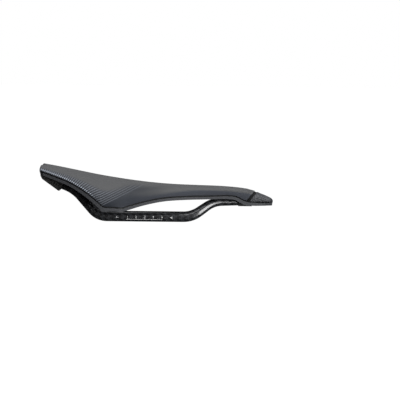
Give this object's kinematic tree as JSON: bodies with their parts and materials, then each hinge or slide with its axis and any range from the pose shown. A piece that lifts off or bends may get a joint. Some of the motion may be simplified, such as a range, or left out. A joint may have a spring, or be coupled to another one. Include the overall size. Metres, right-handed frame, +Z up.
{
  "type": "bicycle saddle",
  "caption": "Short-nosed road bicycle saddle: two padded wings under one thin skin, long relief opening, nose cap and oval carbon rails in sockets.",
  "frame": {"origin": "midway between the rails, at the middle of their straight clamping length and level with their undersides", "axes": "+X to the nose, +Y to the rider's left, +Z up"},
  "size_m": [0.2441, 0.143, 0.0582],
  "materials": {
    "cover_skin": "matt microfibre synthetic skin, fine grain",
    "pad_foam": "closed-cell foam",
    "shell_plastic": "fibre-filled moulded shell, satin rim and glossy channel",
    "cap_plastic": "matt moulded plastic with a fine texture",
    "rail_carbon": "lacquered woven carbon composite",
    "socket_composite": "mottled chopped-fibre composite",
    "screw_steel": "dark zinc steel",
    "insert_brass": "plain turned brass"
  },
  "bodies": {
    "root": {"cover": "cover_skin", "left_foam_pad": "pad_foam", "right_foam_pad": "pad_foam", "base_shell": "shell_plastic", "nose_cap": "cap_plastic", "left_rail": "rail_carbon", "right_rail": "rail_carbon", "front_rail_socket": "socket_composite", "left_rear_rail_socket": "socket_composite", "right_rear_rail_socket": "socket_composite", "accessory_clip_plate": "socket_composite", "nose_cap_screw": "screw_steel", "front_socket_screw": "screw_steel", "left_clip_screw": "screw_steel", "right_clip_screw": "screw_steel", "left_threaded_insert": "insert_brass", "right_threaded_insert": "insert_brass"}
  },
  "joints": []
}
